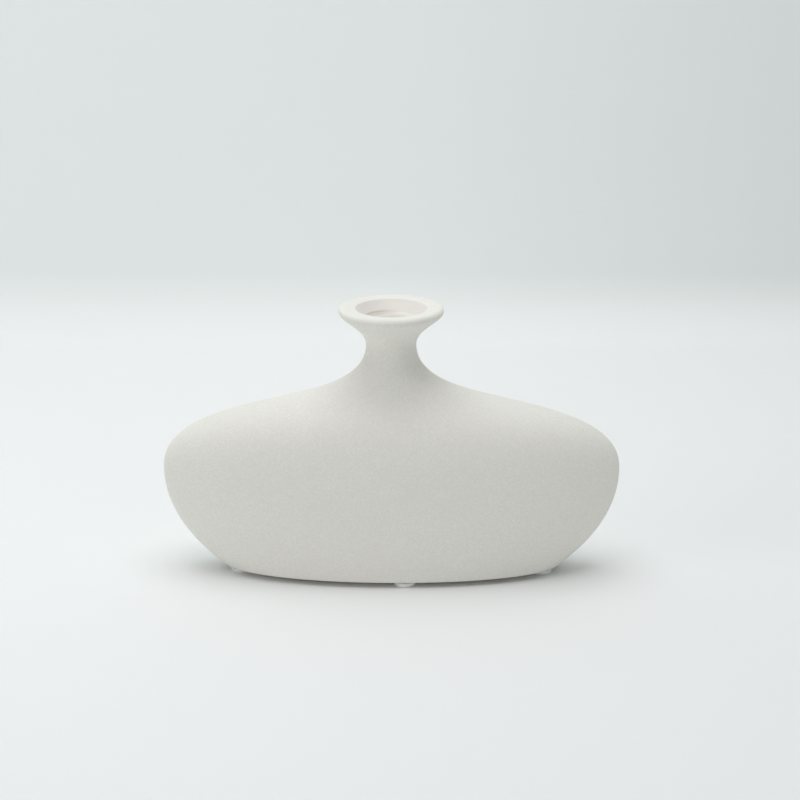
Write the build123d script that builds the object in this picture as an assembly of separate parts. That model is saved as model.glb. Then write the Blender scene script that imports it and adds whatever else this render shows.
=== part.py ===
from build123d import *
import math
import os

# A pillow vase: a flat, wide slip-cast ceramic body with a narrow neck and a flared lip,
# a glaze lining that makes it hold water, and four clear stick-on pads under its foot.
# Millimetres. The origin is on the table, under the middle of the foot. +X runs along the
# width, -Y is the front and +Z is up.

# Pads: clear round bumpers stuck under the foot with a disc of adhesive
PAD_DIAMETER = 11.0
PAD_SOLE_DIAMETER = 10.0
PAD_HEIGHT = 2.5
PAD_EDGE = 0.6
ADHESIVE_THICKNESS = 0.2
ADHESIVE_MARGIN = 0.3
END_PAD_INSET = 8.7
SIDE_PAD_INSET = 6.3
FRONT_PAD_SHIFT = 6.8
END_PAD_SHIFT = 4.0

# Outer wall: full widths and depths, and each rise counted from the level below it
FOOT_WIDTH = 163.0
FOOT_DEPTH = 55.2
FOOT_EDGE = 0.6
BODY_WIDTH = 220.0
BODY_DEPTH = 60.0
BELLY_RISE = 49.1
NECK_DIAMETER = 24.0
SHOULDER_RISE = 61.8
RIM_DIAMETER = 50.0
FLARE_RISE = 16.0
LIP_OUTER_WIDTH = 1.9
LIP_RISE = 2.1

# Inside: the wall and floor, the mouth's funnel and the step where it meets the neck
WALL = 4.5
FLOOR = 5.0
FLOOR_CORNER = 7.0
LIP_INNER_WIDTH = 6.0
LIP_DROP = 0.6
THROAT_DEPTH = 6.0
GLAZE = 0.5

# Underside: a shallow hollow inside the ring that carries the pads
HOLLOW_DEPTH = 1.2
HOLLOW_SLOPE = 2.0
HOLLOW_GAP = 0.8

# Shape factors: how far each curve holds its direction, as a share of its own run or rise
FLANK_RUN_SHARE = 0.84
FLANK_RISE_SHARE = 0.377
BELLY_SHARE_BELOW = 0.258
BELLY_SHARE_ABOVE = 0.663
NECK_SHARE_BELOW = 0.583
NECK_SHARE_ABOVE = 0.48
RIM_SHARE = 0.22
CROWN_SHARE = 0.3
ROUND_SHARE = 0.55
THROAT_SHARE = 0.57
BORE_SHARE = 0.55

# A quarter of an ellipse is a curve of three points with this weight on the middle one
QUARTER_WEIGHT = math.sqrt(0.5)
QUARTERS = ((1, 1), (-1, 1), (-1, -1), (1, -1))

# Heights above the table
FOOT_Z = PAD_HEIGHT + ADHESIVE_THICKNESS
FLOOR_Z = FOOT_Z + FLOOR
BELLY_Z = FOOT_Z + BELLY_RISE
NECK_Z = BELLY_Z + SHOULDER_RISE
RIM_Z = NECK_Z + FLARE_RISE
CREST_Z = RIM_Z + LIP_RISE


def ring(half_width, half_depth, height):
    """An upright vase's section at one height: an ellipse, kept as its two half axes."""
    return Vector(half_width, half_depth, height)


def round_ring(radius, height):
    return ring(radius, radius, height)


def between(start, end, share):
    return start + (end - start) * share


FOOT = ring(FOOT_WIDTH / 2, FOOT_DEPTH / 2, FOOT_Z)
BELLY = ring(BODY_WIDTH / 2, BODY_DEPTH / 2, BELLY_Z)
NECK = round_ring(NECK_DIAMETER / 2, NECK_Z)
RIM = round_ring(RIM_DIAMETER / 2, RIM_Z)
CREST = round_ring(RIM_DIAMETER / 2 - LIP_OUTER_WIDTH, CREST_Z)
FLANK_RUN = BELLY - FOOT
FLANK_LEAVE = ring(
    FLANK_RUN.X * FLANK_RUN_SHARE,
    FLANK_RUN.Y * FLANK_RUN_SHARE,
    FLANK_RUN.Z * FLANK_RISE_SHARE,
)


def quarter_points(at, side_x, side_y):
    """Control points of one quarter of a ring, from its X end to its Y end."""
    return [
        (side_x * at.X, 0, at.Z),
        (side_x * at.X, side_y * at.Y, at.Z),
        (0, side_y * at.Y, at.Z),
    ]


def swept_faces(*rings):
    """The surface that a span of rings steers, as four mirrored quarters."""
    weights = [[1, QUARTER_WEIGHT, 1]] * len(rings)
    return [
        Face.make_bezier_surface([quarter_points(at, *side) for at in rings], weights)
        for side in QUARTERS
    ]


def ring_wire(at):
    return Wire(
        Edge.make_bezier(*quarter_points(at, *side), weights=[1, QUARTER_WEIGHT, 1])
        for side in QUARTERS
    )


def flat_face(outer, hole=None):
    """A level face inside a ring, with a ring-shaped hole if one is given."""
    return Face(ring_wire(outer), [ring_wire(hole)] if hole else None)


def closed_solid(faces):
    return Solid(Shell(faces))


def corner_span(corner, cut, leave):
    """Rounds the corner where a level face meets a wall that leaves it along leave."""
    start = corner - Vector(cut, cut, 0)
    end = corner + leave * (cut / math.hypot(leave.X, leave.Z))
    return start, between(start, corner, ROUND_SHARE), between(end, corner, ROUND_SHARE), end


def inset_along_flank(depth):
    """How far the lower flank's line moves in each direction to lie depth inside the wall."""
    slope = math.atan2(FLANK_LEAVE.Z, FLANK_LEAVE.X)
    side_slope = math.atan2(FLANK_LEAVE.Z, FLANK_LEAVE.Y)
    up = depth * math.cos(slope)
    side = (depth - up * math.cos(side_slope)) / math.sin(side_slope)
    return Vector(-depth * math.sin(slope), -side, up)


def outer_wall_spans():
    """The outside from the edge of the foot to the crest of the lip, bottom first."""
    edge = corner_span(FOOT, FOOT_EDGE, FLANK_LEAVE)
    flank = (
        edge[-1],
        FOOT + FLANK_LEAVE,
        BELLY - Vector(0, 0, BELLY_RISE * BELLY_SHARE_BELOW),
        BELLY,
    )
    shoulder = (
        BELLY,
        BELLY + Vector(0, 0, SHOULDER_RISE * BELLY_SHARE_ABOVE),
        NECK - Vector(0, 0, SHOULDER_RISE * NECK_SHARE_BELOW),
        NECK,
    )
    flare = (
        NECK,
        NECK + Vector(0, 0, FLARE_RISE * NECK_SHARE_ABOVE),
        RIM - Vector(0, 0, FLARE_RISE * RIM_SHARE),
        RIM,
    )
    lip_corner = round_ring(RIM.X, CREST_Z)
    lip = (
        RIM,
        between(RIM, lip_corner, ROUND_SHARE),
        between(CREST, lip_corner, ROUND_SHARE),
        CREST,
    )
    return [edge, flank, shoulder, flare, lip]


def glaze_line(glaze=0.0):
    """Where the lip turns into the funnel and the glaze begins."""
    slope = math.atan2(LIP_DROP, LIP_INNER_WIDTH * CROWN_SHARE)
    return round_ring(
        CREST.X - LIP_INNER_WIDTH - glaze * math.sin(slope),
        CREST_Z - LIP_DROP + glaze * math.cos(slope),
    )


def lip_inner_span():
    """From the crest over to the glaze line."""
    line = glaze_line()
    crown = round_ring(between(line, CREST, CROWN_SHARE).X, CREST_Z)
    return CREST, between(CREST, crown, ROUND_SHARE), between(line, crown, ROUND_SHARE), line


def inner_wall_spans(glaze=0.0):
    """The inside from the glaze line down to the floor, top first, with glaze laid over it."""
    depth = WALL + glaze
    inward = Vector(depth, depth, 0)
    down = Vector(0, 0, depth)
    line = glaze_line(glaze)
    neck = NECK - inward
    throat_radius = between(neck, glaze_line(), THROAT_SHARE).X - glaze
    throat = round_ring(throat_radius, CREST_Z - THROAT_DEPTH + glaze)
    bore = round_ring(neck.X, between(neck, throat, BORE_SHARE).Z)
    bore_corner = round_ring(bore.X, throat.Z)
    funnel = (line, throat)
    step = (
        throat,
        between(throat, bore_corner, ROUND_SHARE),
        between(bore, bore_corner, ROUND_SHARE),
        bore,
    )
    bore_wall = (bore, neck)
    belly = BELLY - inward
    shoulder = (
        neck,
        neck - Vector(0, 0, SHOULDER_RISE * NECK_SHARE_BELOW) - down,
        belly + Vector(0, 0, SHOULDER_RISE * BELLY_SHARE_ABOVE) - down,
        belly,
    )
    line_shift = inset_along_flank(depth)
    foot_line = FOOT + line_shift
    floor_share = (FLOOR_Z + glaze - foot_line.Z) / FLANK_LEAVE.Z
    floor_corner = foot_line + FLANK_LEAVE * floor_share
    corner = corner_span(floor_corner, FLOOR_CORNER, FLANK_LEAVE)
    flank = (
        belly,
        belly - Vector(0, 0, BELLY_RISE * BELLY_SHARE_BELOW),
        foot_line + FLANK_LEAVE,
        corner[-1],
    )
    return [funnel, step, bore_wall, shoulder, flank, corner[::-1]]


def faces_of(spans):
    return [face for span in spans for face in swept_faces(*span)]


def underside_faces(edge):
    """The ring that carries the pads, and the hollow inside it."""
    reach = PAD_DIAMETER / 2 + HOLLOW_GAP
    mouth = FOOT - Vector(END_PAD_INSET + reach, SIDE_PAD_INSET + reach, 0)
    ceiling = mouth + Vector(-HOLLOW_SLOPE, -HOLLOW_SLOPE, HOLLOW_DEPTH)
    return [
        flat_face(edge, mouth),
        *swept_faces(mouth, ceiling),
        flat_face(ceiling),
    ]


def vase_body():
    outer = outer_wall_spans()
    inner = inner_wall_spans()
    floor = inner[-1][-1]
    faces = faces_of([*outer, lip_inner_span(), *inner])
    faces += underside_faces(outer[0][0])
    faces.append(flat_face(floor))
    return closed_solid(faces)


def glaze_lining():
    backed = inner_wall_spans()
    open_side = inner_wall_spans(GLAZE)
    faces = faces_of([*backed, *open_side])
    faces += swept_faces(glaze_line(), glaze_line(GLAZE))
    faces.append(flat_face(backed[-1][-1]))
    faces.append(flat_face(open_side[-1][-1]))
    return closed_solid(faces)


def pad():
    """A clear bumper: flat on top for the adhesive, narrowing a little to a flat sole."""
    top_radius = PAD_DIAMETER / 2
    sole_radius = PAD_SOLE_DIAMETER / 2
    shoulder_z = PAD_HEIGHT - PAD_EDGE
    bulge = Bezier(
        (top_radius, 0, shoulder_z),
        (top_radius, 0, shoulder_z * (1 - ROUND_SHARE)),
        (sole_radius + (top_radius - sole_radius) * ROUND_SHARE, 0, 0),
        (sole_radius, 0, 0),
    )
    rest = Polyline(
        (sole_radius, 0, 0),
        (0, 0, 0),
        (0, 0, PAD_HEIGHT),
        (top_radius, 0, PAD_HEIGHT),
        (top_radius, 0, shoulder_z),
    )
    return revolve(make_face(bulge + rest), Axis.Z)


def adhesive():
    radius = PAD_DIAMETER / 2 - ADHESIVE_MARGIN
    disc = Cylinder(radius, ADHESIVE_THICKNESS, align=(Align.CENTER, Align.CENTER, Align.MIN))
    return Pos(0, 0, PAD_HEIGHT) * disc


def pad_places():
    """Where each pad is stuck: near both ends of the foot, and near its front and back edges."""
    end = FOOT.X - END_PAD_INSET
    side = FOOT.Y - SIDE_PAD_INSET
    return {
        "front": (FRONT_PAD_SHIFT, -side),
        "back": (0, side),
        "left": (-end, -END_PAD_SHIFT),
        "right": (end, -END_PAD_SHIFT),
    }


def write_parts():
    pieces = {"vase_body": vase_body(), "glaze_lining": glaze_lining()}
    for side, place in pad_places().items():
        pieces[f"{side}_pad"] = Pos(*place) * pad()
        pieces[f"{side}_adhesive"] = Pos(*place) * adhesive()
    os.makedirs("parts", exist_ok=True)
    for name, piece in pieces.items():
        piece.label = name
        export_step(piece, f"parts/{name}.step")
        print(name, "volume", round(piece.volume), "valid", piece.is_valid)


write_parts()
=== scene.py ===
import bmesh
import bpy
import math
from mathutils import Matrix, Vector, noise
from mathutils.geometry import interpolate_bezier


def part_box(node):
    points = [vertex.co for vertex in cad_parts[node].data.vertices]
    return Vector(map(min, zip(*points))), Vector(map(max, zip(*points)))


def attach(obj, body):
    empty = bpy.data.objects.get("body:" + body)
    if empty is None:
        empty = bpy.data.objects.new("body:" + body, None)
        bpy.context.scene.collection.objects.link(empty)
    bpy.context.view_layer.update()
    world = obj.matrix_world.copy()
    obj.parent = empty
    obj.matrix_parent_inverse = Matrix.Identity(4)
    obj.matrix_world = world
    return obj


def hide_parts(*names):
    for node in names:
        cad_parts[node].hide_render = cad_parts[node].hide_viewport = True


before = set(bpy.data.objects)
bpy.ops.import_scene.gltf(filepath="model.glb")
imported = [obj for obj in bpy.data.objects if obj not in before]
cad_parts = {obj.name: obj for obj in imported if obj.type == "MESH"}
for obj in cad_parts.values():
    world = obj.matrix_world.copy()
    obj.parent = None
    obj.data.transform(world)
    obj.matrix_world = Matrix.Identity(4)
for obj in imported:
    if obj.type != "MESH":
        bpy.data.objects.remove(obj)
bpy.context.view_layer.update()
MM = 0.001

# Places that the frame gives, in metres: +X along the width, -Y the front, +Z up
BODY_LOW, BODY_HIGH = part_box("vase_body")
LINING_LOW, LINING_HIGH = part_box("glaze_lining")
FOOT_Z = BODY_LOW.z
CREST_Z = BODY_HIGH.z
WALL = BODY_HIGH.x - LINING_HIGH.x
FLOOR_Z = LINING_LOW.z
PAD_SIDES = ("front", "back", "left", "right")

# Outer wall: half axes, and heights counted up from the foot or down from the crest
FOOT_HALF_WIDTH = 81.5 * MM
FOOT_HALF_DEPTH = 27.6 * MM
FOOT_EDGE = 0.6 * MM
BELLY_Z = FOOT_Z + 49.1 * MM
NECK_Z = BELLY_Z + 61.8 * MM
NECK_RADIUS = 12.0 * MM
RIM_RADIUS = 25.0 * MM
RIM_Z = CREST_Z - 2.1 * MM
CREST_RADIUS = RIM_RADIUS - 1.9 * MM

# Inside: glaze, the mouth's funnel, the step at the throat and the rounded floor
GLAZE = 0.5 * MM
GLAZE_EDGE_SHARE = 0.08
GLAZE_OVERLAP = 1.2 * MM
GLAZE_LINE_RADIUS = CREST_RADIUS - 6.0 * MM
GLAZE_LINE_Z = CREST_Z - 0.6 * MM
THROAT_Z = CREST_Z - 6.0 * MM
CREASE_Z = THROAT_Z + GLAZE
FLOOR_CORNER = 7.0 * MM

# Underside: the ring that carries the pads and the shallow hollow inside it
HOLLOW_HALF_WIDTH = FOOT_HALF_WIDTH - 15.0 * MM
HOLLOW_HALF_DEPTH = FOOT_HALF_DEPTH - 12.6 * MM
HOLLOW_SLOPE = 2.0 * MM
HOLLOW_DEPTH = 1.2 * MM

# Stick-on pads
PAD_SOLE_RADIUS = 5.0 * MM
PAD_EDGE = 0.6 * MM
ADHESIVE_ROUND = 0.04 * MM

# How far each curve of the wall holds its direction, as a share of its own run or rise
FLANK_RUN_SHARE = 0.84
FLANK_RISE_SHARE = 0.377
BELLY_SHARE_BELOW = 0.258
BELLY_SHARE_ABOVE = 0.663
NECK_SHARE_BELOW = 0.583
NECK_SHARE_ABOVE = 0.48
RIM_SHARE = 0.22
CROWN_SHARE = 0.3
ROUND_SHARE = 0.55
THROAT_SHARE = 0.57
BORE_SHARE = 0.55

# Fineness of the meshes: faces round a ring, and rings along each curve
SEGMENTS = 256
PAD_SEGMENTS = 72
EDGE_STEPS = 6
FLANK_STEPS = 28
SHOULDER_STEPS = 48
FLARE_STEPS = 22
LIP_STEPS = 12
FUNNEL_STEPS = 12
INNER_STEPS = 20

# The outside of a sponged casting wanders in by up to this much, over about this span
UNEVEN_DEPTH = 0.16 * MM
UNEVEN_SPAN = 26.0 * MM
UNEVEN_FADE = 6.0 * MM

# Bands of the finishes and of the painted shade: the height at which each is full, and the one at
# which it has faded out
FOOT_WEAR = (FOOT_Z, FOOT_Z + 1.6 * MM)
BELOW_LIP = (RIM_Z - 1.0 * MM, CREST_Z - 0.6 * MM)
THROAT_SHADE = (THROAT_Z - 4.0 * MM, THROAT_Z + 1.0 * MM)
CREASE_SHADE_TOP = (CREASE_Z + 0.3 * MM, CREASE_Z + 1.1 * MM)
CREASE_SHADE_BOTTOM = (CREASE_Z - 1.0 * MM, CREASE_Z - 0.2 * MM)
PAD_SCUFFING = (0.0, 0.5 * MM)
PAD_TOP_SHADE_BAND = (1.8 * MM, 2.2 * MM)

# The painted shade in the crease fades in from one X to the other, so that it lies on the left side
# only
CREASE_SHADE_START_X = 4.0 * MM
CREASE_SHADE_FULL_X = -6.0 * MM

# How much of its own tone each mark lends the coat: the painted shade in the peel's hollows and
# between the sand grains, and the wear at the foot
HOLLOW_SHADE_TONE = 0.7
PIT_SHADE_TONE = 0.75
WEAR_TONE = 0.6

# Colours, as linear red, green and blue
COAT_LIGHT = (0.858, 0.851, 0.808, 1)
COAT_SHADE = (0.834, 0.824, 0.779, 1)
COAT_HOLLOW_SHADE = (0.760, 0.748, 0.694, 1)
LIP_CREAM = (0.824, 0.815, 0.762, 1)
CLAY_LIGHT = (0.760, 0.735, 0.680, 1)
CLAY_SHADE = (0.700, 0.668, 0.608, 1)
GLAZE_LIGHT = (0.845, 0.815, 0.770, 1)
GLAZE_SHADE = (0.802, 0.768, 0.718, 1)
GLAZE_THROAT_SHADE = (0.520, 0.490, 0.440, 1)
GLAZE_CREASE_SHADE = (0.600, 0.565, 0.505, 1)
PAD_CLEAR = (0.930, 0.945, 0.935, 1)
PAD_SCUFF = (0.840, 0.850, 0.840, 1)
PAD_TOP_EDGE_SHADE = (0.500, 0.505, 0.490, 1)
ADHESIVE_CLEAR = (0.880, 0.885, 0.870, 1)
ADHESIVE_MILKY = (0.800, 0.800, 0.780, 1)
FLOOR_LIGHT = (0.893, 0.907, 0.901, 1)
FLOOR_SHADE = (0.823, 0.836, 0.830, 1)
BACKDROP_LIGHT = (0.865, 0.908, 0.896, 1)
BACKDROP_SHADE = (0.787, 0.828, 0.817, 1)


def ring(half_width, half_depth, height):
    """One level section of the vase: an ellipse, kept as its two half axes and its height."""
    return Vector((half_width, half_depth, height))


def round_ring(radius, height):
    return ring(radius, radius, height)


def raised(at, rise):
    return at + Vector((0, 0, rise))


def curve(start, start_handle, end_handle, end, steps):
    """The rings that follow start along a smooth curve to end."""
    return interpolate_bezier(start, start_handle, end_handle, end, steps + 1)[1:]


FOOT = ring(FOOT_HALF_WIDTH, FOOT_HALF_DEPTH, FOOT_Z)
BELLY = ring(BODY_HIGH.x, BODY_HIGH.y, BELLY_Z)
NECK = round_ring(NECK_RADIUS, NECK_Z)
RIM = round_ring(RIM_RADIUS, RIM_Z)
CREST = round_ring(CREST_RADIUS, CREST_Z)
BELLY_RISE = BELLY_Z - FOOT_Z
SHOULDER_RISE = NECK_Z - BELLY_Z
FLARE_RISE = RIM_Z - NECK_Z
FLANK_LEAVE = (BELLY - FOOT) * Vector((FLANK_RUN_SHARE, FLANK_RUN_SHARE, FLANK_RISE_SHARE))


def corner_curve(corner, cut, leave):
    """The start, handles and end of a curve that rounds a level face into a wall."""
    start = corner - Vector((cut, cut, 0))
    end = corner + leave * (cut / math.hypot(leave.x, leave.z))
    return start, start.lerp(corner, ROUND_SHARE), end.lerp(corner, ROUND_SHARE), end


def outer_rings():
    """The outside, from the edge of the foot to the crest of the lip."""
    edge = corner_curve(FOOT, FOOT_EDGE, FLANK_LEAVE)
    rings = [edge[0], *curve(*edge, EDGE_STEPS)]
    below_belly = raised(BELLY, -BELLY_RISE * BELLY_SHARE_BELOW)
    rings += curve(edge[-1], FOOT + FLANK_LEAVE, below_belly, BELLY, FLANK_STEPS)
    above_belly = raised(BELLY, SHOULDER_RISE * BELLY_SHARE_ABOVE)
    below_neck = raised(NECK, -SHOULDER_RISE * NECK_SHARE_BELOW)
    rings += curve(BELLY, above_belly, below_neck, NECK, SHOULDER_STEPS)
    above_neck = raised(NECK, FLARE_RISE * NECK_SHARE_ABOVE)
    below_rim = raised(RIM, -FLARE_RISE * RIM_SHARE)
    rings += curve(NECK, above_neck, below_rim, RIM, FLARE_STEPS)
    corner = round_ring(RIM.x, CREST_Z)
    lip = RIM.lerp(corner, ROUND_SHARE), CREST.lerp(corner, ROUND_SHARE)
    return rings + curve(RIM, *lip, CREST, LIP_STEPS)


def glaze_line(glaze=0.0):
    """Where the lip turns into the funnel and the glaze begins."""
    run = (CREST_RADIUS - GLAZE_LINE_RADIUS) * CROWN_SHARE
    slope = math.atan2(CREST_Z - GLAZE_LINE_Z, run)
    radius = GLAZE_LINE_RADIUS - glaze * math.sin(slope)
    return round_ring(radius, GLAZE_LINE_Z + glaze * math.cos(slope))


def lip_inner_rings():
    """From the crest over to the glaze line."""
    line = glaze_line()
    crown = round_ring(line.lerp(CREST, CROWN_SHARE).x, CREST_Z)
    handles = CREST.lerp(crown, ROUND_SHARE), line.lerp(crown, ROUND_SHARE)
    return curve(CREST, *handles, line, LIP_STEPS)


def inset_along_flank(depth):
    """How far the lower flank's line moves to lie depth inside the wall."""
    slope = math.atan2(FLANK_LEAVE.z, FLANK_LEAVE.x)
    side_slope = math.atan2(FLANK_LEAVE.z, FLANK_LEAVE.y)
    up = depth * math.cos(slope)
    side = (depth - up * math.cos(side_slope)) / math.sin(side_slope)
    return Vector((-depth * math.sin(slope), -side, up))


def inner_rings(glaze=0.0):
    """The inside, from the glaze line down to the floor, with glaze laid over it."""
    depth = WALL + glaze
    inward = Vector((depth, depth, 0))
    line = glaze_line(glaze)
    neck = NECK - inward
    belly = BELLY - inward
    throat_radius = neck.lerp(glaze_line(), THROAT_SHARE).x - glaze
    throat = round_ring(throat_radius, THROAT_Z + glaze)
    bore = round_ring(neck.x, neck.lerp(throat, BORE_SHARE).z)
    rings = [line.lerp(throat, step / FUNNEL_STEPS) for step in range(FUNNEL_STEPS + 1)]
    step_corner = round_ring(bore.x, throat.z)
    step = throat.lerp(step_corner, ROUND_SHARE), bore.lerp(step_corner, ROUND_SHARE)
    rings += curve(throat, *step, bore, FUNNEL_STEPS)
    rings.append(neck)
    below_neck = raised(neck, -SHOULDER_RISE * NECK_SHARE_BELOW - depth)
    above_belly = raised(belly, SHOULDER_RISE * BELLY_SHARE_ABOVE - depth)
    rings += curve(neck, below_neck, above_belly, belly, INNER_STEPS)
    foot_line = FOOT + inset_along_flank(depth)
    floor_share = (FLOOR_Z + glaze - foot_line.z) / FLANK_LEAVE.z
    corner = corner_curve(foot_line + FLANK_LEAVE * floor_share, FLOOR_CORNER, FLANK_LEAVE)
    below_belly = raised(belly, -BELLY_RISE * BELLY_SHARE_BELOW)
    rings += curve(belly, below_belly, foot_line + FLANK_LEAVE, corner[-1], INNER_STEPS)
    return rings + curve(*corner[::-1], EDGE_STEPS)


def open_tube(bm, at):
    """Draws the first ring of a tube and returns its edges."""
    verts = bmesh.ops.create_circle(bm, segments=SEGMENTS, radius=1.0)["verts"]
    bmesh.ops.scale(bm, vec=(at.x, at.y, 1), verts=verts)
    bmesh.ops.translate(bm, vec=(0, 0, at.z), verts=verts)
    return list({edge for vert in verts for edge in vert.link_edges})


def extend_tube(bm, edges, rings, finish):
    """Carries a tube from rings[0], where its edges are, through the rest. Returns the last edges."""
    for before, at in zip(rings, rings[1:]):
        made = bmesh.ops.extrude_edge_only(bm, edges=edges)["geom"]
        verts = [item for item in made if isinstance(item, bmesh.types.BMVert)]
        bmesh.ops.scale(bm, vec=(at.x / before.x, at.y / before.y, 1), verts=verts)
        bmesh.ops.translate(bm, vec=(0, 0, at.z - before.z), verts=verts)
        edges = [item for item in made if isinstance(item, bmesh.types.BMEdge)]
        for face in made:
            if isinstance(face, bmesh.types.BMFace):
                face.material_index = finish
    return edges


def close_level(bm, edges, finish):
    """Closes a ring with one level face."""
    bmesh.ops.edgeloop_fill(bm, edges=edges, mat_nr=finish)


def wander(bm, finish):
    """Lets the outside wander in a little, as a casting does when its skin is sponged by hand."""
    bm.normal_update()
    for vert in bm.verts:
        if all(face.material_index == finish for face in vert.link_faces):
            swing = 0.5 + 0.5 * noise.noise(vert.co / UNEVEN_SPAN)
            hold = min(1.0, (vert.co.z - FOOT_Z) / UNEVEN_FADE)
            vert.co -= vert.normal * (UNEVEN_DEPTH * swing * hold)


def finish_piece(name, bm, node, slot, *materials, sharp=math.radians(35)):
    """Turns a bmesh into a smooth piece of the vase that stands for a node of the frame."""
    bmesh.ops.recalc_face_normals(bm, faces=bm.faces)
    mesh = bpy.data.meshes.new(name)
    bm.to_mesh(mesh)
    bm.free()
    mesh.shade_smooth()
    mesh.set_sharp_from_angle(angle=sharp)
    for material in materials:
        mesh.materials.append(material)
    piece = bpy.data.objects.new(name, mesh)
    bpy.context.scene.collection.objects.link(piece)
    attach(piece, "root")
    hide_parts(node)
    return piece


def make_body(coat, clay):
    """The cast body, from the hollow in its underside over the lip and back down to its floor."""
    coat_index, clay_index = range(2)
    hollow = ring(HOLLOW_HALF_WIDTH, HOLLOW_HALF_DEPTH, FOOT_Z)
    ceiling = hollow + Vector((-HOLLOW_SLOPE, -HOLLOW_SLOPE, HOLLOW_DEPTH))
    outside = outer_rings()
    bm = bmesh.new()
    edges = open_tube(bm, ceiling)
    close_level(bm, edges, clay_index)
    edges = extend_tube(bm, edges, [ceiling, hollow, outside[0]], clay_index)
    edges = extend_tube(bm, edges, outside + lip_inner_rings(), coat_index)
    edges = extend_tube(bm, edges, inner_rings(), clay_index)
    close_level(bm, edges, clay_index)
    bmesh.ops.recalc_face_normals(bm, faces=bm.faces)
    wander(bm, coat_index)
    finish_piece("cast_body", bm, "vase_body", "matte_ceramic", coat, clay)


def feathered(backed, full):
    """The face of the glaze: thin at the line where it begins, and at its full depth by the throat."""
    shown = []
    for index, (under, over) in enumerate(zip(backed, full)):
        share = GLAZE_EDGE_SHARE + (1 - GLAZE_EDGE_SHARE) * index / FUNNEL_STEPS
        shown.append(under.lerp(over, min(1.0, share)))
    return shown


def make_lining(glaze):
    """The fired glaze inside: the face that shows, and its back on the clay."""
    backed = inner_rings()
    shown = feathered(backed, inner_rings(GLAZE))
    bm = bmesh.new()
    edges = open_tube(bm, shown[-1])
    close_level(bm, edges, 0)
    edges = extend_tube(bm, edges, shown[::-1] + backed, 0)
    close_level(bm, edges, 0)
    finish_piece("glaze_skin", bm, "glaze_lining", "inner_glaze", glaze)


def node_centre(node):
    low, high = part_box(node)
    return (low + high) / 2


def make_pad(side, material):
    """A clear bumper, spun round its own upright axis, with a slightly smaller flat sole."""
    low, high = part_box(f"{side}_pad")
    centre = node_centre(f"{side}_pad")
    radius = (high.x - low.x) / 2
    shoulder = Vector((radius, 0, high.z - PAD_EDGE))
    sole = Vector((PAD_SOLE_RADIUS, 0, low.z))
    side_handle = Vector((radius, 0, shoulder.z * (1 - ROUND_SHARE)))
    sole_handle = sole.lerp(Vector((radius, 0, low.z)), ROUND_SHARE)
    bulge = interpolate_bezier(sole, sole_handle, side_handle, shoulder, FUNNEL_STEPS)
    top = [Vector((radius, 0, high.z)), Vector((0, 0, high.z))]
    outline = [Vector((0, 0, low.z)), *bulge, *top]
    bm = bmesh.new()
    verts = [bm.verts.new((centre.x + at.x, centre.y, at.z)) for at in outline]
    edges = [bm.edges.new(pair) for pair in zip(verts, verts[1:])]
    bmesh.ops.spin(
        bm,
        geom=verts + edges,
        cent=centre,
        axis=(0, 0, 1),
        angle=math.tau,
        steps=PAD_SEGMENTS,
        use_merge=True,
    )
    bmesh.ops.remove_doubles(bm, verts=bm.verts, dist=0.001 * MM)
    finish_piece(f"{side}_bumper", bm, f"{side}_pad", "clear_pad", material)


def make_adhesive(side, material):
    """The film between a pad and the foot: a disc with slightly squeezed edges."""
    low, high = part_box(f"{side}_adhesive")
    centre = node_centre(f"{side}_adhesive")
    bm = bmesh.new()
    bmesh.ops.create_circle(bm, cap_ends=True, segments=PAD_SEGMENTS, radius=(high.x - low.x) / 2)
    bmesh.ops.translate(bm, vec=(centre.x, centre.y, low.z), verts=bm.verts)
    made = bmesh.ops.extrude_face_region(bm, geom=bm.faces[:])["geom"]
    lifted = [item for item in made if isinstance(item, bmesh.types.BMVert)]
    bmesh.ops.translate(bm, vec=(0, 0, high.z - low.z), verts=lifted)
    rims = [edge for edge in bm.edges if abs(edge.verts[0].co.z - edge.verts[1].co.z) < ADHESIVE_ROUND]
    bmesh.ops.bevel(
        bm,
        geom=rims,
        offset=ADHESIVE_ROUND,
        affect="EDGES",
        segments=2,
        profile=0.5,
        material=-1,
    )
    finish_piece(f"{side}_film", bm, f"{side}_adhesive", "pad_adhesive", material)


def wire(tree, source, target):
    """Links a socket to an input, or sets the input where source is a plain value."""
    if isinstance(source, bpy.types.NodeSocket):
        tree.links.new(source, target)
    else:
        target.default_value = source


def arithmetic(tree, operation, *values):
    """A Math node's result."""
    node = tree.nodes.new("ShaderNodeMath")
    node.operation = operation
    for value, target in zip(values, node.inputs):
        wire(tree, value, target)
    return node.outputs["Value"]


def spread(tree, value, low, high, to_low=0.0, to_high=1.0, smooth=False):
    """A value's range from low to high, spread over another range."""
    node = tree.nodes.new("ShaderNodeMapRange")
    node.interpolation_type = "SMOOTHSTEP" if smooth else "LINEAR"
    for name, setting in (
        ("Value", value),
        ("From Min", low),
        ("From Max", high),
        ("To Min", to_low),
        ("To Max", to_high),
    ):
        wire(tree, setting, node.inputs[name])
    return node.outputs["Result"]


def blend(tree, share, first, second):
    """A colour between two others."""
    node = tree.nodes.new("ShaderNodeMix")
    node.data_type = "RGBA"
    wire(tree, share, node.inputs["Factor"])
    wire(tree, first, node.inputs["A"])
    wire(tree, second, node.inputs["B"])
    return node.outputs["Result"]


def place_on_piece(tree):
    """The point on the piece, in metres."""
    return tree.nodes.new("ShaderNodeTexCoord").outputs["Object"]


def clouds(tree, place, size, detail=2.0):
    """Soft noise whose patches are about size across."""
    node = tree.nodes.new("ShaderNodeTexNoise")
    wire(tree, place, node.inputs["Vector"])
    wire(tree, arithmetic(tree, "DIVIDE", 1.0, size), node.inputs["Scale"])
    node.inputs["Detail"].default_value = detail
    return node.outputs["Fac"]


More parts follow.
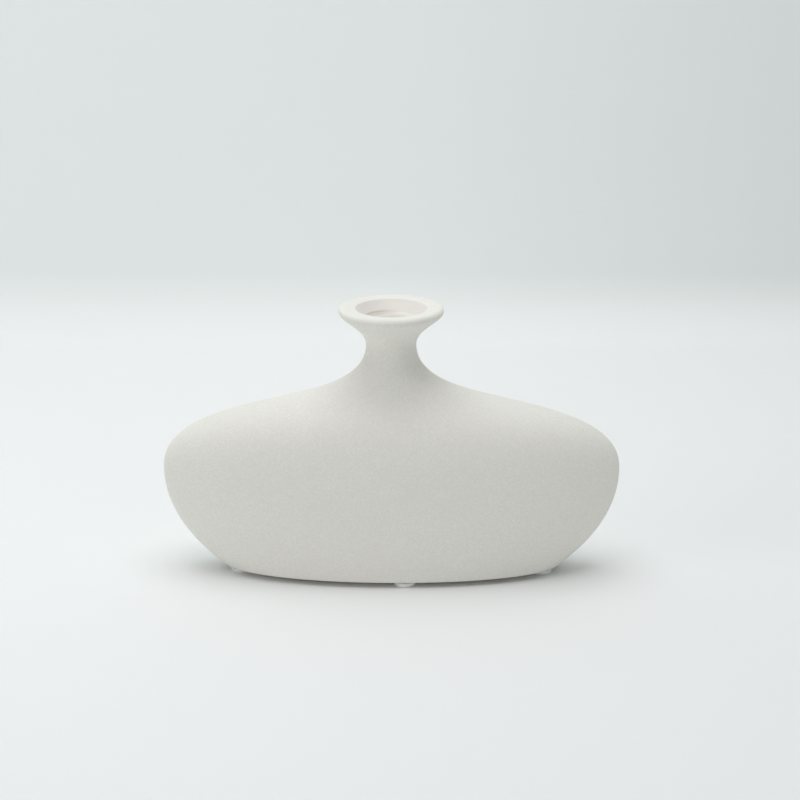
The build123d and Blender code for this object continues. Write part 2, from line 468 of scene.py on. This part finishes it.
def grains(tree, place, size):
    """How far each point is from the middle of its grain of sand, as a share of the grain."""
    node = tree.nodes.new("ShaderNodeTexVoronoi")
    node.feature = "SMOOTH_F1"
    wire(tree, place, node.inputs["Vector"])
    wire(tree, arithmetic(tree, "DIVIDE", 1.0, size), node.inputs["Scale"])
    node.inputs["Smoothness"].default_value = 0.5
    return node.outputs["Distance"]


def new_group(name, inputs, outputs):
    """A shader node group with number sockets."""
    tree = bpy.data.node_groups.new(name, "ShaderNodeTree")
    for label, value in inputs.items():
        socket = tree.interface.new_socket(label, in_out="INPUT", socket_type="NodeSocketFloat")
        socket.default_value = value
    for label in outputs:
        tree.interface.new_socket(label, in_out="OUTPUT", socket_type="NodeSocketFloat")
    entry = tree.nodes.new("NodeGroupInput")
    leave = tree.nodes.new("NodeGroupOutput")
    return tree, entry.outputs, leave.inputs


def sandy_skin_group():
    """A fired skin: soft orange peel with sand in it. Height is in metres. Hollow Shade and Pit Shade
    mark the peel's low places and the pits between the sand grains, where the coat gets painted shade.
    """
    inputs = {
        "Peel Size": 1.1 * MM,
        "Peel Depth": 0.1 * MM,
        "Grain Size": 0.5 * MM,
        "Grain Depth": 0.014 * MM,
        "Drift Size": 30.0 * MM,
    }
    tree, entry, leave = new_group("sandy_skin", inputs, ("Height", "Hollow Shade", "Pit Shade", "Drift"))
    place = place_on_piece(tree)
    peel = clouds(tree, place, entry["Peel Size"], 1.0)
    sand = arithmetic(tree, "SUBTRACT", 1.0, grains(tree, place, entry["Grain Size"]))
    peel_height = arithmetic(tree, "MULTIPLY", peel, entry["Peel Depth"])
    sand_height = arithmetic(tree, "MULTIPLY", sand, entry["Grain Depth"])
    height = arithmetic(tree, "ADD", peel_height, sand_height)
    wire(tree, height, leave["Height"])
    wire(tree, spread(tree, peel, 0.62, 0.38), leave["Hollow Shade"])
    wire(tree, spread(tree, sand, 0.85, 0.35), leave["Pit Shade"])
    drift = clouds(tree, place, entry["Drift Size"], 3.0)
    wire(tree, spread(tree, drift, 0.3, 0.7), leave["Drift"])
    return tree


def level_band_group():
    """A mask that fades from 1 at or below one height to 0 at another."""
    tree, entry, leave = new_group("level_band", {"Full Below": 0.0, "None Above": 1.0}, ("Mask",))
    split = tree.nodes.new("ShaderNodeSeparateXYZ")
    wire(tree, place_on_piece(tree), split.inputs["Vector"])
    limits = entry["Full Below"], entry["None Above"]
    wire(tree, spread(tree, split.outputs["Z"], *limits, 1.0, 0.0, smooth=True), leave["Mask"])
    return tree


def use_group(tree, group, **values):
    """Places a group in a material, with its own values, and returns its outputs."""
    node = tree.nodes.new("ShaderNodeGroup")
    node.node_tree = group
    for name, value in values.items():
        wire(tree, value, node.inputs[name.replace("_", " ").title()])
    return node.outputs


def band(tree, level_band, limits):
    """How much of a finish a point's height gives it."""
    full, none = limits
    return use_group(tree, level_band, full_below=full, none_above=none)["Mask"]


def new_material(name, **settings):
    """A material with constant settings on its shader's own sockets."""
    material = bpy.data.materials.new(name)
    material.use_nodes = True
    shader = material.node_tree.nodes["Principled BSDF"]
    for label, value in settings.items():
        shader.inputs[label.replace("_", " ")].default_value = value
    return material, material.node_tree, shader.inputs


def bump(tree, height, target):
    """Turns a height in metres into the shader's normal."""
    node = tree.nodes.new("ShaderNodeBump")
    node.inputs["Distance"].default_value = 1.0
    wire(tree, height, node.inputs["Height"])
    wire(tree, node.outputs["Normal"], target)


def distance_from_axis(tree):
    """How far a point is from the vase's upright axis."""
    level = tree.nodes.new("ShaderNodeVectorMath")
    level.operation = "MULTIPLY"
    wire(tree, place_on_piece(tree), level.inputs[0])
    level.inputs[1].default_value = (1, 1, 0)
    length = tree.nodes.new("ShaderNodeVectorMath")
    length.operation = "LENGTH"
    wire(tree, level.outputs["Vector"], length.inputs[0])
    return length.outputs["Value"]


def reach(tree, direction):
    """How far a point lies along a direction."""
    node = tree.nodes.new("ShaderNodeVectorMath")
    node.operation = "DOT_PRODUCT"
    wire(tree, place_on_piece(tree), node.inputs[0])
    node.inputs[1].default_value = direction
    return node.outputs["Value"]


def coat_material(sandy_skin, level_band):
    """The sandy matte coat: worn along the edge of the foot, creamy on the lip, with painted shade in
    the peel's hollows and between the sand grains.
    """
    material, tree, shader = new_material("sandy_coat", Specular_IOR_Level=0.3)
    skin = use_group(tree, sandy_skin)
    # Painted shade: the coat darkens in the peel's hollows and in the pits between the sand grains
    hollow_shade = arithmetic(tree, "MULTIPLY", skin["Hollow Shade"], HOLLOW_SHADE_TONE)
    pit_shade = arithmetic(tree, "MULTIPLY", skin["Pit Shade"], PIT_SHADE_TONE)
    worn = arithmetic(tree, "MULTIPLY", band(tree, level_band, FOOT_WEAR), WEAR_TONE)
    below_lip = band(tree, level_band, BELOW_LIP)
    glaze_edge = GLAZE_LINE_RADIUS + GLAZE_OVERLAP, GLAZE_LINE_RADIUS
    near_glaze = spread(tree, distance_from_axis(tree), *glaze_edge, smooth=True)
    colour = blend(tree, skin["Drift"], COAT_SHADE, COAT_LIGHT)
    colour = blend(tree, hollow_shade, colour, COAT_HOLLOW_SHADE)
    colour = blend(tree, pit_shade, colour, COAT_HOLLOW_SHADE)
    colour = blend(tree, worn, colour, CLAY_LIGHT)
    lip_colour = blend(tree, near_glaze, LIP_CREAM, GLAZE_LIGHT)
    colour = blend(tree, below_lip, lip_colour, colour)
    wire(tree, colour, shader["Base Color"])
    wire(tree, spread(tree, skin["Pit Shade"], 0.0, 1.0, 0.82, 0.95), shader["Roughness"])
    bump(tree, skin["Height"], shader["Normal"])
    return material


def clay_material(sandy_skin):
    """The bare fired clay of the underside."""
    material, tree, shader = new_material("bare_clay", Specular_IOR_Level=0.25)
    skin = use_group(tree, sandy_skin, grain_size=0.5 * MM, grain_depth=0.016 * MM)
    colour = blend(tree, skin["Drift"], CLAY_SHADE, CLAY_LIGHT)
    wire(tree, colour, shader["Base Color"])
    wire(tree, spread(tree, skin["Pit Shade"], 0.0, 1.0, 0.88, 0.97), shader["Roughness"])
    bump(tree, skin["Height"], shader["Normal"])
    return material


def glaze_material(sandy_skin, level_band):
    """The satin glaze inside: warm, with painted shade darkening it down the throat and in the crease
    above it.
    """
    material, tree, shader = new_material("satin_glaze", Coat_Roughness=0.35)
    skin = use_group(tree, sandy_skin, peel_size=3.2 * MM, grain_depth=0.004 * MM)
    # Painted shade down the throat, where the bore falls into shadow
    throat = band(tree, level_band, THROAT_SHADE)
    # Painted shade in the crease above the step, only on its left side, which faces away from the
    # light
    up_to_top = band(tree, level_band, CREASE_SHADE_TOP)
    up_to_bottom = band(tree, level_band, CREASE_SHADE_BOTTOM)
    crease = arithmetic(tree, "SUBTRACT", up_to_top, up_to_bottom)
    left_side = spread(tree, reach(tree, (1, 0, 0)), CREASE_SHADE_START_X, CREASE_SHADE_FULL_X)
    crease = arithmetic(tree, "MULTIPLY", crease, left_side)
    colour = blend(tree, skin["Drift"], GLAZE_SHADE, GLAZE_LIGHT)
    colour = blend(tree, throat, colour, GLAZE_THROAT_SHADE)
    colour = blend(tree, crease, colour, GLAZE_CREASE_SHADE)
    wire(tree, colour, shader["Base Color"])
    wire(tree, spread(tree, skin["Drift"], 0.0, 1.0, 0.55, 0.42), shader["Roughness"])
    wire(tree, spread(tree, throat, 0.0, 1.0, 0.1, 0.3), shader["Coat Weight"])
    bump(tree, skin["Height"], shader["Normal"])
    return material


def pad_material(sandy_skin, level_band):
    """Clear soft plastic, with painted shade along its top edge and a little scuffed at the sole."""
    material, tree, shader = new_material("clear_plastic", IOR=1.49, Transmission_Weight=0.15)
    skin = use_group(tree, sandy_skin, peel_depth=0.006 * MM, grain_depth=0.001 * MM)
    sole = band(tree, level_band, PAD_SCUFFING)
    # Painted shade along the pad's top edge, in the shadow under the foot
    side = band(tree, level_band, PAD_TOP_SHADE_BAND)
    colour = blend(tree, side, PAD_TOP_EDGE_SHADE, PAD_CLEAR)
    wire(tree, blend(tree, sole, colour, PAD_SCUFF), shader["Base Color"])
    scuff = arithmetic(tree, "MULTIPLY", sole, skin["Drift"])
    wire(tree, spread(tree, scuff, 0.0, 1.0, 0.06, 0.35), shader["Roughness"])
    bump(tree, skin["Height"], shader["Normal"])
    return material


def adhesive_material(sandy_skin):
    """Clear adhesive film, milky where it hasn't wetted the clay."""
    material, tree, shader = new_material("clear_film", IOR=1.47, Transmission_Weight=0.7)
    skin = use_group(tree, sandy_skin, drift_size=2.0 * MM)
    wire(tree, blend(tree, skin["Drift"], ADHESIVE_CLEAR, ADHESIVE_MILKY), shader["Base Color"])
    wire(tree, spread(tree, skin["Drift"], 0.0, 1.0, 0.2, 0.5), shader["Roughness"])
    bump(tree, skin["Height"], shader["Normal"])
    return material


def make_vase(sandy_skin, level_band):
    make_body(coat_material(sandy_skin, level_band), clay_material(sandy_skin))
    make_lining(glaze_material(sandy_skin, level_band))
    clear_plastic = pad_material(sandy_skin, level_band)
    clear_film = adhesive_material(sandy_skin)
    for side in PAD_SIDES:
        make_pad(side, clear_plastic)
        make_adhesive(side, clear_film)


# Stage: a paper sweep, its light and the camera, in metres and watts
SWEEP_WIDTH = 7.0
SWEEP_FRONT_Y = -2.5
SWEEP_BEND_Y = 0.40
SWEEP_RADIUS = 0.042
SWEEP_TOP_Z = 2.2
SWEEP_BEND_STEPS = 24
# Painted light and shade on the paper: lighter along this direction between these reaches, and the
# backdrop greyer from one X to the other
PAPER_PAINTED_LIGHT_DIRECTION = (-0.83, 0.55, 0)
PAPER_PAINTED_SHADE_REACH = -0.35
PAPER_PAINTED_LIGHT_REACH = 0.20
BACKDROP_PAINTED_SHADE_FROM_X = 0.0
BACKDROP_PAINTED_SHADE_TO_X = 0.3
WHITE = (1.0, 1.0, 1.0)
COOL_WHITE = (1.0, 1.0, 1.02)
LAMPS = {
    "top_soft_box": {"place": (-0.05, -0.02, 1.40), "side": 1.2, "power": 11.4, "tint": COOL_WHITE},
    "left_soft_box": {"place": (-1.30, -0.65, 0.45), "side": 0.8, "power": 3.85, "tint": WHITE},
    "right_soft_box": {"place": (0.90, -1.25, 0.40), "side": 0.8, "power": 2.0, "tint": WHITE},
}
LAMP_AIM = Vector((0, 0, 0.06))
SKY_COLOUR = (1.0, 1.0, 1.0, 1)
SKY_STRENGTH = 0.338
CAMERA_AIM = Vector((4.2 * MM, 0, 64.6 * MM))
CAMERA_DISTANCE = 1.0
CAMERA_ELEVATION = 0.319
CAMERA_TURN = 0.0148
CAMERA_LENS_PIXELS = 2079
PICTURE_PIXELS = 800
CAMERA_AIM_ROW = 442
SENSOR_WIDTH = 36.0


def paper_material(level_band):
    """Pale paper with painted shade towards the front and the right. From behind it doesn't show."""
    material, tree, shader = new_material("pale_paper", Specular_IOR_Level=0.2, Roughness=0.9)
    # Painted light and shade: the floor lighter to the back left and greyer to the front right, the
    # backdrop greyer to the right
    tone = spread(tree, reach(tree, PAPER_PAINTED_LIGHT_DIRECTION), PAPER_PAINTED_SHADE_REACH, PAPER_PAINTED_LIGHT_REACH)
    floor = band(tree, level_band, (0.0, SWEEP_RADIUS))
    colour = blend(tree, tone, FLOOR_SHADE, FLOOR_LIGHT)
    backdrop_shading = spread(tree, reach(tree, (1, 0, 0)), BACKDROP_PAINTED_SHADE_FROM_X, BACKDROP_PAINTED_SHADE_TO_X)
    backdrop = blend(tree, backdrop_shading, BACKDROP_LIGHT, BACKDROP_SHADE)
    wire(tree, blend(tree, floor, backdrop, colour), shader["Base Color"])
    behind = tree.nodes.new("ShaderNodeNewGeometry").outputs["Backfacing"]
    wire(tree, arithmetic(tree, "SUBTRACT", 1.0, behind), shader["Alpha"])
    return material


def make_sweep(level_band):
    """A floor that bends up into a backdrop."""
    bm = bmesh.new()
    half = SWEEP_WIDTH / 2
    edge = bm.edges.new([bm.verts.new((x, SWEEP_FRONT_Y, 0)) for x in (-half, half)])

    def pull(edges, move):
        made = bmesh.ops.extrude_edge_only(bm, edges=edges)["geom"]
        verts = [item for item in made if isinstance(item, bmesh.types.BMVert)]
        bmesh.ops.translate(bm, vec=move, verts=verts)
        return verts, [item for item in made if isinstance(item, bmesh.types.BMEdge)]

    verts, edges = pull([edge], (0, SWEEP_BEND_Y - SWEEP_FRONT_Y, 0))
    spun = bmesh.ops.spin(
        bm,
        geom=verts + edges,
        cent=(0, SWEEP_BEND_Y, SWEEP_RADIUS),
        axis=(1, 0, 0),
        angle=math.pi / 2,
        steps=SWEEP_BEND_STEPS,
    )["geom_last"]
    edges = [item for item in spun if isinstance(item, bmesh.types.BMEdge)]
    pull(edges, (0, 0, SWEEP_TOP_Z - SWEEP_RADIUS))
    bmesh.ops.recalc_face_normals(bm, faces=bm.faces)
    faces_down = min(face.normal.z for face in bm.faces) < -0.5
    if faces_down:
        bmesh.ops.reverse_faces(bm, faces=bm.faces)
    mesh = bpy.data.meshes.new("paper_sweep")
    bm.to_mesh(mesh)
    bm.free()
    mesh.shade_smooth()
    mesh.materials.append(paper_material(level_band))
    sweep = bpy.data.objects.new("paper_sweep", mesh)
    bpy.context.scene.collection.objects.link(sweep)


def make_lamp(name, place, side, power, tint):
    """A square soft box that faces the vase."""
    lamp = bpy.data.lights.new(name, "AREA")
    lamp.shape = "SQUARE"
    lamp.size = side
    lamp.energy = power
    lamp.color = tint
    light = bpy.data.objects.new(name, lamp)
    light.location = place
    light.rotation_euler = (LAMP_AIM - Vector(place)).to_track_quat("-Z", "Y").to_euler()
    bpy.context.scene.collection.objects.link(light)


def make_light():
    """Soft boxes above and at both sides, and an even pale sky."""
    for name, setting in LAMPS.items():
        make_lamp(name, **setting)
    world = bpy.data.worlds.new("studio")
    world.use_nodes = True
    sky = world.node_tree.nodes["Background"].inputs
    sky["Color"].default_value = SKY_COLOUR
    sky["Strength"].default_value = SKY_STRENGTH
    bpy.context.scene.world = world


def make_camera():
    """Looks down at the vase from the front, with the aim a little below the picture's middle."""
    data = bpy.data.cameras.new("camera")
    data.sensor_width = SENSOR_WIDTH
    data.lens = CAMERA_LENS_PIXELS / PICTURE_PIXELS * SENSOR_WIDTH
    data.clip_start = 0.05
    camera = bpy.data.objects.new("camera", data)
    drop = math.atan((CAMERA_AIM_ROW - PICTURE_PIXELS / 2) / CAMERA_LENS_PIXELS)
    camera.rotation_euler = (math.pi / 2 - CAMERA_ELEVATION + drop, 0, CAMERA_TURN)
    back = Vector((0, -math.cos(CAMERA_ELEVATION), math.sin(CAMERA_ELEVATION)))
    back.rotate(Matrix.Rotation(CAMERA_TURN, 3, "Z"))
    camera.location = CAMERA_AIM + back * CAMERA_DISTANCE
    bpy.context.scene.collection.objects.link(camera)
    bpy.context.scene.camera = camera


sandy_skin = sandy_skin_group()
level_band = level_band_group()
make_vase(sandy_skin, level_band)
make_sweep(level_band)
make_light()
make_camera()
bpy.context.scene.view_settings.view_transform = "Standard"
